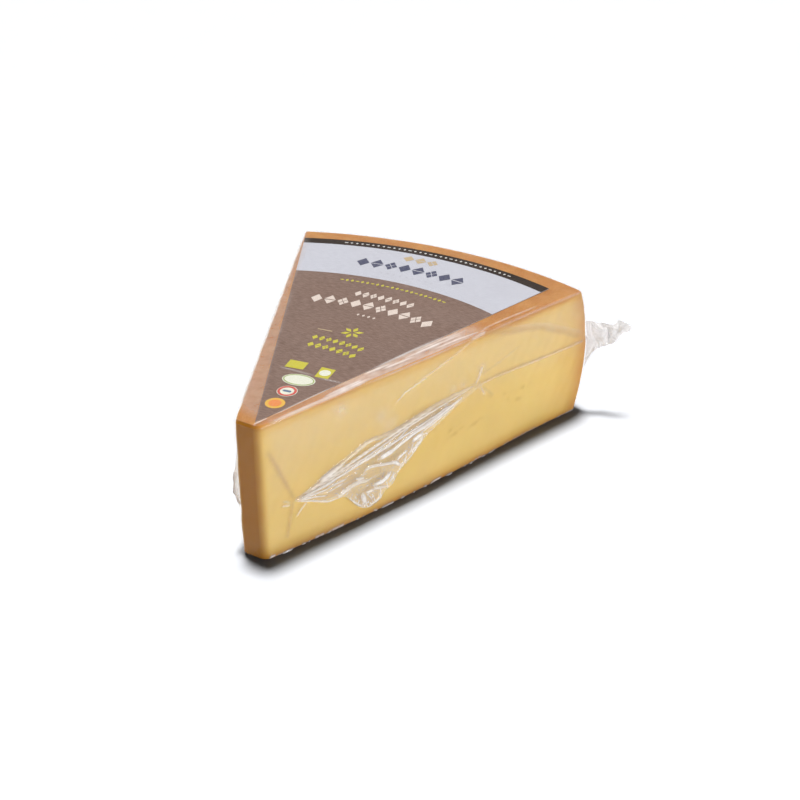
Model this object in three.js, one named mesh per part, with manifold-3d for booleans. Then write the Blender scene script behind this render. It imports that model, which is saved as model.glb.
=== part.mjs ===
// A vacuum-packed chunk of mountain cheese: an eighth of a large wheel, with its printed label on the top rind
// and the surplus film of its clear bag folded along the sides. Millimetres, +Z up, +X from the nose to the heel.
import * as THREE from "three";
import { mergeVertices } from "three/addons/utils/BufferGeometryUtils.js";
import Module from "manifold-3d";

const { degToRad, lerp } = THREE.MathUtils;
const wasm = await Module();
wasm.setup();

// ---------------------------------------------------------------- driving dimensions, mm
// They are given about the wheel's centre, with the base at 0. The whole part is centred at the end of the file.
const WHEEL_RADIUS = 302.5;
const CUT_BEARINGS = { right: degToRad(-21.15), left: degToRad(21.6) }; // where the two cuts meet the wheel's rim
const HEIGHT = 95;
const RIM_BULGE = 8.7; // the heel stands this far proud at mid-height
const NOSE_RIGHT = new THREE.Vector2(26.6, -12); // the blunt nose's two corners
const NOSE_LEFT = new THREE.Vector2(27.2, 4.6);
const EDGE_RADIUS = { cut: 2, heel: 2.5, nose: 2.6 }; // top and bottom edges of each side
const CORNER_RADIUS = { noseRight: 5.5, heel: 2, noseLeft: 3 }; // upright edges
const FACE_SWELL = { depth: 3.7, length: 225, lostAtTop: 0.85 }; // the front cut has sagged outwards at its foot

const LABEL_CENTRE = new THREE.Vector2(29.6, 2.3);
const LABEL_RADIUS = 259.5;
const LABEL_SIDES = { left: degToRad(23), right: degToRad(-20.4) }; // bearings of the two outer corners
const LABEL_TIP = [new THREE.Vector2(31.2, -7.4), new THREE.Vector2(36.4, -9.2)];
const LABEL_THICKNESS = 0.3;

const GAP = 0.3; // between pieces that touch
const FILM_THICKNESS = 0.5; // two webs and their weld

// The bag's weld runs round the front cut, the heel and the left cut. Its surplus film hangs from it as a flap.
// Each list gives [distance from the nose corner, height] along a face.
const FRONT_WELD = [
  [22.6, 36.4], [50, 39.9], [76, 44.1], [110, 51.9], [145, 56.8], [176, 59.4], [205, 58.6], [271, 55.8],
];
const FRONT_FLAP_EDGE = [
  [22.6, 34.9], [34, 30.4], [46, 25.2], [59, 23.8], [71.5, 10.4], [78, 8.4], [87.5, 12], [99, 20],
  [112, 30], [125, 40.4], [142, 47], [162, 53.4], [190, 57], [271, 53.4],
];
const LEFT_WELD = [[6, 70], [24, 66], [70, 60], [130, 55], [200, 56], [274, 55.8]];
const LEFT_FLAP_EDGE = [[6, 32], [16, 29], [34, 36], [62, 29], [92, 35], [124, 44], [176, 51], [274, 53.4]];
const HEEL_FLANGE = 9; // width of the flange across the heel
const EAR = { proud: 3.2, from: 6, to: 32 }; // the film stands off the left cut beside the nose

// The twisted tail at the right end of the heel: [reach from the corner, height] of its two edges.
const TAIL_HEADING = degToRad(-66);
const TAIL_TOP = [[0, 69.5], [5.5, 69.3], [7.4, 67.8], [13.8, 67.6], [19.2, 67.8], [22.4, 70.6], [27, 69], [31, 66.4]];
const TAIL_FOOT = [[0, 33], [4, 43.6], [8.3, 47.5], [14.8, 50.4], [20.6, 54.6], [24.5, 59.6], [28, 61.8], [31, 63.8]];
const TAIL_LENGTH = 31;
const CRUMPLE = { flap: 1.6, tail: 3.2 };

// ---------------------------------------------------------------- small helpers

const heading = (a, length = 1) => new THREE.Vector2(Math.cos(a) * length, Math.sin(a) * length);

// A smooth curve y(x) through a list of [x, y]: each span is a cubic whose end slopes come from its neighbours.
function curveThrough(points) {
  const slope = points.map((p, i) => {
    const a = points[Math.max(i - 1, 0)];
    const b = points[Math.min(i + 1, points.length - 1)];
    return (b[1] - a[1]) / (b[0] - a[0]);
  });
  return (x) => {
    let i = 0;
    while (i < points.length - 2 && x > points[i + 1][0]) i++;
    const [x0, y0] = points[i];
    const [x1, y1] = points[i + 1];
    const h = x1 - x0;
    const t = THREE.MathUtils.clamp((x - x0) / h, 0, 1);
    const t2 = t * t;
    const t3 = t2 * t;
    return (
      y0 * (2 * t3 - 3 * t2 + 1) + slope[i] * h * (t3 - 2 * t2 + t) +
      y1 * (3 * t2 - 2 * t3) + slope[i + 1] * h * (t3 - t2)
    );
  };
}

// Triangles between neighbouring rows of a grid whose point (row, column) has the index row * columns + column.
function gridFaces(rows, columns, wrap) {
  const faces = [];
  for (let r = 0; r < rows - 1; r++) {
    for (let c = 0; c < (wrap ? columns : columns - 1); c++) {
      const a = r * columns + c;
      const b = r * columns + ((c + 1) % columns);
      faces.push(a, b, b + columns, a, b + columns, a + columns);
    }
  }
  return faces;
}

function geometryOf(points, faces) {
  const geometry = new THREE.BufferGeometry().setFromPoints(points);
  geometry.setIndex(faces);
  geometry.computeVertexNormals();
  return geometry;
}

// A grid of points given a thickness: the grid moved half of it to each side, with its border closed.
function sheetSolid(grid, thickness) {
  const rows = grid.length;
  const columns = grid[0].length;
  const half = (side) => grid.flatMap((row, r) => row.map((point, c) => {
    const along = grid[Math.min(r + 1, rows - 1)][c].clone().sub(grid[Math.max(r - 1, 0)][c]);
    const across = row[Math.min(c + 1, columns - 1)].clone().sub(row[Math.max(c - 1, 0)]);
    const normal = across.cross(along).normalize();
    return point.clone().addScaledVector(normal, (side * thickness) / 2);
  }));
  const count = rows * columns;
  const top = gridFaces(rows, columns, false);
  const faces = [...top];
  for (let i = 0; i < top.length; i += 3) faces.push(top[i] + count, top[i + 2] + count, top[i + 1] + count);
  const border = [];
  for (let c = 0; c < columns - 1; c++) border.push(c);
  for (let r = 0; r < rows - 1; r++) border.push(r * columns + columns - 1);
  for (let c = columns - 1; c > 0; c--) border.push((rows - 1) * columns + c);
  for (let r = rows - 1; r > 0; r--) border.push(r * columns);
  border.forEach((a, i) => {
    const b = border[(i + 1) % border.length];
    faces.push(b, a, a + count, b, a + count, b + count);
  });
  return geometryOf([...half(1), ...half(-1)], faces);
}

function solidOf(geometry) {
  const bare = geometry.clone();
  bare.deleteAttribute("normal");
  const merged = mergeVertices(bare, 1e-4);
  return new wasm.Manifold(new wasm.Mesh({
    numProp: 3,
    vertProperties: merged.attributes.position.array,
    triVerts: new Uint32Array(merged.index.array),
  }));
}

function joined(geometries) {
  const solid = geometries.map(solidOf).reduce((all, next) => all.add(next));
  const mesh = solid.getMesh();
  const geometry = new THREE.BufferGeometry();
  geometry.setAttribute("position", new THREE.BufferAttribute(mesh.vertProperties, 3));
  geometry.setIndex(new THREE.BufferAttribute(mesh.triVerts, 1));
  geometry.computeVertexNormals();
  return geometry;
}

// ---------------------------------------------------------------- the wedge's outline

const HEEL_RIGHT = heading(CUT_BEARINGS.right, WHEEL_RADIUS);
const HEEL_LEFT = heading(CUT_BEARINGS.left, WHEEL_RADIUS);

// A straight side, with its outward normal to the right of its direction.
function straightSide(from, to) {
  const along = to.clone().sub(from);
  const length = along.length();
  along.normalize();
  return { from, along, length, normal: new THREE.Vector2(along.y, -along.x) };
}
const FRONT = straightSide(NOSE_RIGHT, HEEL_RIGHT);
const LEFT = straightSide(HEEL_LEFT, NOSE_LEFT);
const NOSE = straightSide(NOSE_LEFT, NOSE_RIGHT);

// The point that lies a given distance inside two straight sides.
function insideBoth(sideA, depthA, sideB, depthB) {
  const a = sideA.from.clone().addScaledVector(sideA.normal, -depthA);
  const b = sideB.from.clone().addScaledVector(sideB.normal, -depthB);
  const step = b.sub(a).cross(sideB.along) / sideA.along.cross(sideB.along);
  return a.addScaledVector(sideA.along, step);
}

// The point on a straight side's line, moved in by a depth, that lies at a radius from the wheel's centre.
function insideWheel(side, depth, radius) {
  const a = side.from.clone().addScaledVector(side.normal, -depth);
  const towards = -a.dot(side.along);
  const half = Math.sqrt(radius ** 2 - a.lengthSq() + towards ** 2);
  return a.addScaledVector(side.along, side === FRONT ? towards + half : towards - half);
}

function corner(centre, radius, fromNormal, toNormal) {
  const start = fromNormal.angle();
  const sweep = (toNormal.angle() - start + 2 * Math.PI) % (2 * Math.PI);
  return new THREE.EllipseCurve(centre.x, centre.y, radius, radius, start, start + sweep, false);
}

const heelRadius = (z) => WHEEL_RADIUS + RIM_BULGE * Math.sin((Math.PI * z) / HEIGHT);

// The outline as eight curves, anticlockwise from the nose's right corner, with each side moved in by an inset.
function outline(inset, heelHeight) {
  const radius = heelRadius(heelHeight) - inset.heel;
  const cornerOf = (name, worst) => Math.max(CORNER_RADIUS[name] - worst / 2, 0.5);
  const atNoseRight = cornerOf("noseRight", inset.nose);
  const atHeel = cornerOf("heel", inset.heel);
  const atNoseLeft = cornerOf("noseLeft", inset.nose);
  const centres = [
    insideBoth(NOSE, inset.nose + atNoseRight, FRONT, inset.cut + atNoseRight),
    insideWheel(FRONT, inset.cut + atHeel, radius - atHeel),
    insideWheel(LEFT, inset.cut + atHeel, radius - atHeel),
    insideBoth(LEFT, inset.cut + atNoseLeft, NOSE, inset.nose + atNoseLeft),
  ];
  const corners = [
    corner(centres[0], atNoseRight, NOSE.normal, FRONT.normal),
    corner(centres[1], atHeel, FRONT.normal, centres[1]),
    corner(centres[2], atHeel, centres[2], LEFT.normal),
    corner(centres[3], atNoseLeft, LEFT.normal, NOSE.normal),
  ];
  const start = (curve) => curve.getPoint(0);
  const end = (curve) => curve.getPoint(1);
  const heel = new THREE.EllipseCurve(0, 0, radius, radius, centres[1].angle() - 2 * Math.PI, centres[2].angle());
  return [
    corners[0], new THREE.LineCurve(end(corners[0]), start(corners[1])),
    corners[1], heel,
    corners[2], new THREE.LineCurve(end(corners[2]), start(corners[3])),
    corners[3], new THREE.LineCurve(end(corners[3]), start(corners[0])),
  ];
}
const CURVE = { front: 1, heelRight: 2, heel: 3, heelLeft: 4, left: 5 };

// How far the front cut has sagged outwards at a distance from the nose and a height.
function swell(distance, z) {
  if (distance <= 0 || distance >= FACE_SWELL.length) return 0;
  const rise = Math.sin((Math.PI * distance) / FACE_SWELL.length);
  return FACE_SWELL.depth * rise * (1 - (FACE_SWELL.lostAtTop * z) / HEIGHT);
}

// A point on the wedge's side at a height, moved out by a distance: curve and fraction give its place round the outline.
function wallPoint(curves, curve, fraction, z, out = 0) {
  const point = curves[curve].getPoint(fraction);
  const tangent = curves[curve].getTangent(fraction);
  const normal = new THREE.Vector2(tangent.y, -tangent.x);
  const sag = curve === CURVE.front ? swell(point.clone().sub(NOSE_RIGHT).dot(FRONT.along), z) : 0;
  point.addScaledVector(normal, out + sag);
  return new THREE.Vector3(point.x, point.y, z);
}

// ---------------------------------------------------------------- the cheese

const STATIONS = [5, 30, 4, 22, 4, 30, 3, 3]; // steps on each of the outline's eight curves
const EDGE_STEPS = 4;
const SIDE_STEPS = 10;

// Levels from the base to the top: each says how far it is along the rounded edges and the upright side.
function levels() {
  const list = [];
  for (let i = 0; i < EDGE_STEPS; i++) list.push({ turn: (Math.PI / 2) * (1 - i / EDGE_STEPS), rise: 0 });
  for (let i = 0; i <= SIDE_STEPS; i++) list.push({ turn: 0, rise: i / SIDE_STEPS });
  for (let i = 1; i <= EDGE_STEPS; i++) list.push({ turn: ((Math.PI / 2) * i) / EDGE_STEPS, rise: 1 });
  return list;
}

function edgeRadiusAt(curve, fraction) {
  const { cut, heel, nose } = EDGE_RADIUS;
  const ends = [[nose, cut], [cut, cut], [cut, heel], [heel, heel], [heel, cut], [cut, cut], [cut, nose], [nose, nose]];
  return lerp(...ends[curve], fraction);
}

function heightOf(level, radius) {
  const tuck = radius * (1 - Math.sin(level.turn));
  if (level.turn === 0) return lerp(radius, HEIGHT - radius, level.rise);
  return level.rise === 0 ? tuck : HEIGHT - tuck;
}

function cheeseGeometry() {
  const points = [];
  const rows = levels();
  for (const level of rows) {
    const tuck = 1 - Math.cos(level.turn);
    const inset = { cut: EDGE_RADIUS.cut * tuck, heel: EDGE_RADIUS.heel * tuck, nose: EDGE_RADIUS.nose * tuck };
    const curves = outline(inset, heightOf(level, EDGE_RADIUS.heel));
    STATIONS.forEach((steps, curve) => {
      for (let i = 0; i < steps; i++) {
        const z = heightOf(level, edgeRadiusAt(curve, i / steps));
        points.push(wallPoint(curves, curve, i / steps, z));
      }
    });
  }
  const columns = points.length / rows.length;
  const faces = gridFaces(rows.length, columns, true);
  const middle = heading(0, (WHEEL_RADIUS * 2) / 3);
  const foot = points.length;
  const last = foot - columns;
  points.push(new THREE.Vector3(middle.x, middle.y, 0), new THREE.Vector3(middle.x, middle.y, HEIGHT));
  for (let c = 0; c < columns; c++) {
    const next = (c + 1) % columns;
    faces.push(foot, next, c, foot + 1, last + c, last + next);
  }
  return geometryOf(points, faces);
}

// ---------------------------------------------------------------- the label

function labelGeometry() {
  const shape = new THREE.Shape();
  shape.moveTo(LABEL_TIP[0].x, LABEL_TIP[0].y);
  shape.lineTo(LABEL_TIP[1].x, LABEL_TIP[1].y);
  shape.absarc(LABEL_CENTRE.x, LABEL_CENTRE.y, LABEL_RADIUS, LABEL_SIDES.right, LABEL_SIDES.left);
  shape.closePath();
  const geometry = new THREE.ExtrudeGeometry(shape, {
    depth: LABEL_THICKNESS, bevelEnabled: false, curveSegments: 48,
  });
  return geometry.translate(0, 0, HEIGHT + GAP);
}

// ---------------------------------------------------------------- the bag's surplus film

// Creases that never repeat within the part: three sine waves whose lengths have no common measure, from 0 to 1.
const creases = (a, b) => 0.5 + (Math.sin(0.37 * a + 0.21 * b) + Math.sin(0.23 * a - 0.47 * b) +
  Math.sin(0.61 * a + 0.33 * b + 1.3)) / 6;

const FLAP_STEPS = { front: 62, corner: 3, heel: 20, left: 56, across: 6 };

// The film hanging off a straight face: row by row along it, from the weld down to the flap's edge.
function faceFlap(curve, weld, edge, steps, distanceAt) {
  const weldAt = curveThrough(weld);
  const edgeAt = curveThrough(edge);
  const first = weld[0][0];
  const last = weld[weld.length - 1][0];
  const rows = [];
  for (let i = 0; i <= steps; i++) {
    const distance = lerp(first, last, i / steps);
    const row = [];
    for (let j = 0; j <= FLAP_STEPS.across; j++) {
      const drop = j / FLAP_STEPS.across;
      const z = lerp(weldAt(distance), edgeAt(distance), drop);
      const curves = outline({ cut: 0, heel: 0, nose: 0 }, z);
      const width = weldAt(distance) - edgeAt(distance);
      const loose = Math.min(width / 12, 1) * Math.sin(Math.PI * Math.min(drop, 0.75));
      const beside = THREE.MathUtils.clamp((distance - EAR.from) / (EAR.to - EAR.from), 0, 1);
      const ear = curve === CURVE.left ? EAR.proud * (1 - beside) * Math.sin(Math.PI * drop ** 2) : 0;
      const out = GAP + FILM_THICKNESS + ear + CRUMPLE.flap * loose * creases(distance, z);
      row.push(wallPoint(curves, curve, distanceAt(curves[curve], distance), z, out));
    }
    rows.push(row);
  }
  return rows;
}

// A distance from the nose's corner turned into the fraction of the face's own line.
const frontFraction = (line, distance) => {
  const from = line.v1.clone().sub(NOSE_RIGHT).dot(FRONT.along);
  return (distance - from) / line.getLength();
};
const leftFraction = (line, distance) => {
  const from = LEFT.length - line.v1.clone().sub(HEEL_LEFT).dot(LEFT.along);
  return (from - distance) / line.getLength();
};

// The flange round the heel and its corners slopes down and out from the weld, and narrows to meet the faces' flaps.
function heelFlange() {
  const weldHeight = FRONT_WELD[FRONT_WELD.length - 1][1];
  const narrow = weldHeight - FRONT_FLAP_EDGE[FRONT_FLAP_EDGE.length - 1][1];
  const spans = [
    [CURVE.heelRight, FLAP_STEPS.corner], [CURVE.heel, FLAP_STEPS.heel], [CURVE.heelLeft, FLAP_STEPS.corner],
  ];
  const rows = [];
  for (const [curve, steps] of spans) {
    for (let i = curve === CURVE.heelRight ? 0 : 1; i <= steps; i++) {
      const fraction = i / steps;
      const broad = curve === CURVE.heel ? Math.sin(Math.PI * fraction) ** 0.5 : 0;
      const width = lerp(narrow, HEEL_FLANGE, broad);
      const row = [];
      for (let j = 0; j <= FLAP_STEPS.across; j++) {
        const drop = j / FLAP_STEPS.across;
        const z = weldHeight - width * drop;
        const curves = outline({ cut: 0, heel: 0, nose: 0 }, z);
        const lift = broad * drop * (2 + CRUMPLE.flap * creases(60 * fraction * curve, 5 * drop));
        row.push(wallPoint(curves, curve, fraction, z, GAP + FILM_THICKNESS + lift));
      }
      rows.push(row);
    }
  }
  return rows;
}

function tailGrid() {
  const topAt = curveThrough(TAIL_TOP);
  const footAt = curveThrough(TAIL_FOOT);
  const reachSteps = 22;
  const heightSteps = 12;
  const along = heading(TAIL_HEADING);
  const across = new THREE.Vector2(-along.y, along.x);
  const rows = [];
  for (let i = 0; i <= reachSteps; i++) {
    const reach = (TAIL_LENGTH * i) / reachSteps;
    const row = [];
    for (let j = 0; j <= heightSteps; j++) {
      const z = lerp(topAt(reach), footAt(reach), j / heightSteps);
      const root = wallPoint(outline({ cut: 0, heel: 0, nose: 0 }, z), CURVE.heelRight, 0.5, z, GAP);
      const fold = CRUMPLE.tail * Math.min(reach / 6, 1) * (2 * creases(1.1 * reach, 0.9 * z) - 1);
      root.x += along.x * reach + across.x * fold;
      root.y += along.y * reach + across.y * fold;
      row.push(root);
    }
    rows.push(row);
  }
  return rows;
}

function bagFilmGeometry() {
  const front = faceFlap(CURVE.front, FRONT_WELD, FRONT_FLAP_EDGE, FLAP_STEPS.front, frontFraction);
  const left = faceFlap(CURVE.left, LEFT_WELD, LEFT_FLAP_EDGE, FLAP_STEPS.left, leftFraction).reverse();
  const band = [...front.slice(0, -1), ...heelFlange(), ...left.slice(1)];
  return joined([sheetSolid(band, FILM_THICKNESS), sheetSolid(tailGrid(), FILM_THICKNESS)]);
}

// ---------------------------------------------------------------- the part

function pieceOf(name, geometry, material) {
  const mesh = new THREE.Mesh(geometry, new THREE.MeshStandardMaterial(material));
  mesh.name = name;
  return mesh;
}

const chunk = new THREE.Group();
chunk.add(
  pieceOf("cheese_wedge", cheeseGeometry(), { color: 0xe6c68b, roughness: 0.45, metalness: 0 }),
  pieceOf("label", labelGeometry(), { color: 0x8f7b70, roughness: 0.6, metalness: 0 }),
  pieceOf("bag_film", bagFilmGeometry(), {
    color: 0xe8e8ee, roughness: 0.15, metalness: 0, transparent: true, opacity: 0.4,
  }),
);

// The origin is the middle of the whole part's footprint, at the base.
const box = new THREE.Box3().setFromObject(chunk, true);
const middle = box.getCenter(new THREE.Vector3());
chunk.position.set(-middle.x, -middle.y, 0);

export default chunk;
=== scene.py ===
"""A vacuum-packed chunk of mountain cheese: the cut cheese with its rind, the printed label and the clear bag.

Sizes are millimetres about the wheel's centre, with the base at 0, as in the CAD, and placed() turns them into
metres in the model's frame. Points in plan are complex numbers, x + iy, and so are points on a cut face: the
distance from its nose corner + i times the height.
"""

from functools import partial

import bpy
import numpy as np
from mathutils import Matrix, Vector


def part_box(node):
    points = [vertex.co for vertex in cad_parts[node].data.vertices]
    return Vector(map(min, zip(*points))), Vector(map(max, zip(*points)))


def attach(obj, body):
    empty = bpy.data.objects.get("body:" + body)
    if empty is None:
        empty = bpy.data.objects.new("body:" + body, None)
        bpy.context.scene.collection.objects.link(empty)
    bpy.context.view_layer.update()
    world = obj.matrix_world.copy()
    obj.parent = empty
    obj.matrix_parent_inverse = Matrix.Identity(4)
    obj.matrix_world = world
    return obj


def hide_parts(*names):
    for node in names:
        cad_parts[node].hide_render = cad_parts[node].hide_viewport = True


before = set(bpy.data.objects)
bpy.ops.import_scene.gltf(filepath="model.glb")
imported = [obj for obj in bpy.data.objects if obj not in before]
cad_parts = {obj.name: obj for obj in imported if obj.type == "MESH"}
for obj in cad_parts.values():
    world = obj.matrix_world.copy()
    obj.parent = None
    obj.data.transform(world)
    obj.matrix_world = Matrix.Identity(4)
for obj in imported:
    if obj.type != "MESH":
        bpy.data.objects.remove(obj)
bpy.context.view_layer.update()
MM = 0.001

# ---- driving sizes, as in the CAD

WHEEL_RADIUS = 302.5
CUT_BEARINGS = {"right": np.radians(-21.15), "left": np.radians(21.6)}
HEIGHT = 95.0
RIM_BULGE = 8.7
NOSE_RIGHT = 26.6 - 12.0j
NOSE_LEFT = 27.2 + 4.6j
EDGE_RADIUS = {"cut": 2.0, "heel": 2.5, "nose": 2.6}
CORNER_RADIUS = {"nose_right": 5.5, "heel": 2.0, "nose_left": 3.0}
SWELL_DEPTH = 3.7
SWELL_LENGTH = 225.0
SWELL_LOST_AT_TOP = 0.85

LABEL_CENTRE = 29.6 + 2.3j
LABEL_RADIUS = 259.5
LABEL_LEFT = np.radians(23.0)
LABEL_RIGHT = np.radians(-20.4)
LABEL_TIP_LEFT = 31.2 - 7.4j
LABEL_TIP_RIGHT = 36.4 - 9.2j
LABEL_THICKNESS = 0.3
GAP = 0.3
LABEL_TOP = HEIGHT + GAP + LABEL_THICKNESS

TAIL_HEADING = np.radians(-66.0)
TAIL_LENGTH = 31.0

# The label's arc gives where the CAD has put the wheel's centre.
LABEL_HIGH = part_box("label")[1]
SHIFT = np.array([
    LABEL_HIGH[0] - (LABEL_CENTRE.real + LABEL_RADIUS) * MM,
    LABEL_HIGH[1] - (LABEL_CENTRE.imag + LABEL_RADIUS * np.sin(LABEL_LEFT)) * MM,
    0,
])


def placed(points):
    """Millimetres about the wheel's centre to metres in the model's frame."""
    return np.asarray(points, float) * MM + SHIFT


def raised(plan, z):
    """Points in plan and their heights as x, y, z."""
    return np.stack([plan.real, plan.imag, np.broadcast_to(z, plan.shape)], axis=-1)


# ---- numbers and curves


def ease(x, low, high):
    """0 below low, 1 above high, and a smooth step between them."""
    t = np.clip((x - low) / (high - low), 0, 1)
    return t * t * (3 - 2 * t)


def blend(a, b, f):
    """From a to b by a fraction."""
    return (1 - f) * a + f * b


def within(x, low, in_full, last_full, high):
    """1 between in_full and last_full, with smooth steps to 0 at low and high."""
    return ease(x, low, in_full) * (1 - ease(x, last_full, high))


def curve_through(points, x):
    """A smooth y(x) through points: spans are cubics whose end slopes come from their neighbours."""
    px, py = np.real(points), np.imag(points)
    slope = np.gradient(py, px)
    slope[1:-1] = (py[2:] - py[:-2]) / (px[2:] - px[:-2])
    i = np.clip(np.searchsorted(px, x, side="right") - 1, 0, len(px) - 2)
    h = px[i + 1] - px[i]
    t = np.clip((x - px[i]) / h, 0, 1)
    start = py[i] * (2 * t**3 - 3 * t**2 + 1) + slope[i] * h * (t**3 - 2 * t**2 + t)
    return start + py[i + 1] * (3 * t**2 - 2 * t**3) + slope[i + 1] * h * (t**3 - t**2)


def swirls(x, y, size, seed=0.0):
    """Slow uneven waves, -1 to 1: three sines in different directions, with no common measure."""
    w = 2 * np.pi / size
    a = np.sin(w * (0.9 * x + 0.35 * y) + seed)
    b = np.sin(w * (0.57 * y - 0.41 * x) + 2.1 * seed + a)
    return (a + b + np.sin(w * (1.37 * x - 0.83 * y) + 3.7 * seed + b)) / 3


def folds(x, y, size, turns=5, seed=0.0):
    """Crumpled film, 0 to 1: the highest of several waved ridges, 1 - |sin|, a golden angle apart."""
    x, y = (x + 0.3 * size * swirls(x, y, 2.7 * size, seed),
            y + 0.3 * size * swirls(y, x, 3.3 * size, seed + 2))
    total = 0
    for k in range(turns):
        turned = np.pi / (size * (1 + 0.31 * k)) * (x + 1j * y) * np.exp(-1j * (seed + 2.39996 * k))
        ridge = 1 - np.abs(np.sin(turned.real + 1.7 * k))
        total = np.maximum(total, (0.6 + 0.4 * np.sin(0.37 * turned.imag + 2.3 * k)) * ridge**1.4)
    return total


def near_line(place, points):
    """Distance from each place to a broken line, and how far along it the nearest point lies, 0 to 1."""
    p = np.array(points)
    lengths = np.abs(p[1:] - p[:-1])
    best, along, done = np.full(np.shape(place), 1e9), np.zeros(np.shape(place)), 0
    for a, side, length in zip(p, p[1:] - p[:-1], lengths):
        t = np.clip(dot(side, place - a) / length**2, 0, 1)
        d = np.abs(place - a - t * side)
        along = np.where(d < best, (done + t * length) / lengths.sum(), along)
        best = np.minimum(d, best)
        done += length
    return best, along


def tent(place, line, width, end=0.02):
    """Film held up along a line, 0 to 1: straight slopes across, the root of half a sine wave along."""
    away, along = near_line(place, line)
    return np.clip(1 - away / width, 0, 1) * np.sqrt(np.sin(np.pi * np.clip(along, end, 1 - end)))


def creased(x, y, lines):
    """Rise, haze and glare of film in tents along lines: points, then height, width, haze and glare."""
    rise, haze, glare = np.zeros((3,) + np.shape(x))
    for line, height, width, grey, white in lines:
        crease = tent(x + 1j * y, line, width)
        rise = np.maximum(rise, 0.6 * height * crease)
        haze = np.maximum(haze, grey * np.sqrt(crease))
        # The glare is a painted highlight along each crease's crest.
        glare = np.maximum(glare, white * np.minimum(1, 1.7 * crease))
    return rise, haze, glare


# ---- the wedge's outline


def straight(start, end):
    """A straight side: its start, its direction and its outward normal, to the direction's right."""
    along = (end - start) / abs(end - start)
    return start, along, -1j * along


HEEL_RIGHT = WHEEL_RADIUS * np.exp(1j * CUT_BEARINGS["right"])
HEEL_LEFT = WHEEL_RADIUS * np.exp(1j * CUT_BEARINGS["left"])
FRONT = straight(NOSE_RIGHT, HEEL_RIGHT)
LEFT = straight(HEEL_LEFT, NOSE_LEFT)
NOSE = straight(NOSE_LEFT, NOSE_RIGHT)


def cross(a, b):
    """The cross product of two directions in plan."""
    return (np.conj(a) * b).imag


def dot(a, b):
    """The dot product of two directions in plan."""
    return (np.conj(a) * b).real


def along_front(plan):
    """How far points in plan lie along the front cut from its nose corner."""
    return dot(FRONT[1], plan - NOSE_RIGHT)


def along_left(plan):
    """How far points in plan lie along the left cut from its nose corner."""
    return -dot(LEFT[1], plan - NOSE_LEFT)


def inside_both(side_a, depth_a, side_b, depth_b):
    """The point that lies a given depth inside each of two straight sides."""
    a = side_a[0] - side_a[2] * depth_a
    b = side_b[0] - side_b[2] * depth_b
    return a + side_a[1] * cross(b - a, side_b[1]) / cross(side_a[1], side_b[1])


def on_circle(origin, along, radius, centre=0.0, end=1):
    """Where a straight line crosses a circle: ahead of its origin for an end of 1, and behind it for -1."""
    a = origin - centre
    towards = -dot(along, a)
    return origin + along * (towards + end * np.sqrt(radius**2 - np.abs(a) ** 2 + towards**2))


def heel_radius(z):
    """The rim bulges between its two rinds as half a sine wave."""
    return WHEEL_RADIUS + RIM_BULGE * np.sin(np.pi * z / HEIGHT)


def arc(centre, radius, start_normal, end_normal, f):
    """A round corner's points and normals, anticlockwise from one normal to the other."""
    start = np.angle(start_normal)
    sweep = (np.angle(end_normal) - start) % (2 * np.pi)
    normal = np.exp(1j * (start + sweep * f))
    return centre + radius * normal, normal


def outline(heel_height, cut, nose, heel, stations):
    """The wedge's outline, level by level: sides and heel moved in, and round corners. With its normals.

    The first four are columns, a row for each level. stations has fractions for each of eight stretches: nose
    corner, front, heel corner, heel, heel corner, left, nose corner, nose."""
    radius = heel_radius(heel_height) - heel
    at_right, at_left = (np.maximum(CORNER_RADIUS[k] - nose / 2, 0.5) for k in ("nose_right", "nose_left"))
    at_heel = np.maximum(CORNER_RADIUS["heel"] - heel / 2, 0.5)
    inward = cut + at_heel
    nose_right = inside_both(NOSE, nose + at_right, FRONT, cut + at_right)
    heel_right = on_circle(FRONT[0] - FRONT[2] * inward, FRONT[1], radius - at_heel)
    heel_left = on_circle(LEFT[0] - LEFT[2] * inward, LEFT[1], radius - at_heel, end=-1)
    nose_left = inside_both(LEFT, cut + at_left, NOSE, nose + at_left)
    corners = [(nose_right, at_right, NOSE[2], FRONT[2]), (heel_right, at_heel, FRONT[2], heel_right),
               (heel_left, at_heel, heel_left, LEFT[2]), (nose_left, at_left, LEFT[2], NOSE[2])]
    points, normals = [], []
    for k, normal in enumerate((FRONT[2], None, LEFT[2], NOSE[2])):
        f = stations[2 * k + 1]
        start, end = arc(*corners[k], 1)[0], arc(*corners[(k + 1) % 4], 0)[0]
        side = arc(0, radius, heel_right, heel_left, f) if normal is None else (blend(start, end, f), normal)
        for p, n in (arc(*corners[k], stations[2 * k]), side):
            points.append(p)
            normals.append(np.broadcast_to(n, p.shape))
    return np.concatenate(points, axis=1), np.concatenate(normals, axis=1)


def sag(distance, z):
    """How far the front cut has sagged out: half a sine wave along its foot, fading towards the top."""
    rise = np.sin(np.pi * np.clip(distance / SWELL_LENGTH, 0, 1))
    return SWELL_DEPTH * rise * (1 - SWELL_LOST_AT_TOP * z / HEIGHT)


def crowded(f):
    """Fractions drawn together near 0, where the film's creases are finest."""
    return f * (0.4 + 0.6 * f)


def edge_levels(side_steps, edge_steps):
    """Levels from base to top as (turn, rise): a quarter turn at each rounded edge, upright between."""
    step = np.arange(-edge_steps, side_steps + edge_steps + 1)[:, None]
    turn = np.pi / 2 * np.maximum(np.maximum(-step, step - side_steps), 0) / edge_steps
    return turn, np.clip(step / side_steps, 0, 1)


def height_of(turn, rise, radius):
    """A level's height where the edge has the given radius."""
    tuck = radius * (1 - np.sin(turn))
    return blend(tuck, HEIGHT - tuck, rise)


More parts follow.
